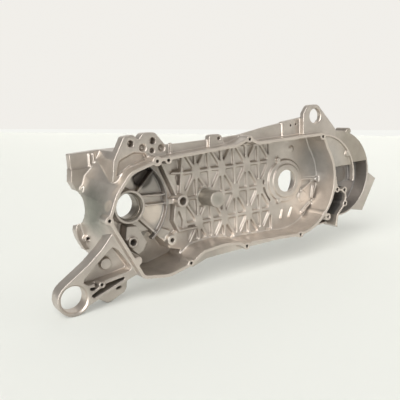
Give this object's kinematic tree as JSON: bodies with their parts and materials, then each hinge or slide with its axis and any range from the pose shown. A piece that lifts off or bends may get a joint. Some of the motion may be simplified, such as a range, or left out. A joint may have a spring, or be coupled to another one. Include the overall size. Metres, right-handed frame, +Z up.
{
  "type": "crankcase half",
  "caption": "Cast aluminium crankcase half of a belt-driven scooter engine: open belt chamber with a ribbed floor, two bearing collars, a mount arm and a rear wheel drum.",
  "frame": {"origin": "on the crankshaft axis, in the middle of the bearing seat's length, halfway between the gasket rim of the belt chamber and the joint with the other case half", "axes": "+X from the crankshaft to the clutch and the rear wheel, +Y from the open belt chamber towards the joint with the other half, +Z up"},
  "size_m": [0.6161, 0.088, 0.2462],
  "materials": {
    "cast_aluminium": "satin"
  },
  "bodies": {
    "root": {"crankcase_half": "cast_aluminium"}
  },
  "joints": []
}
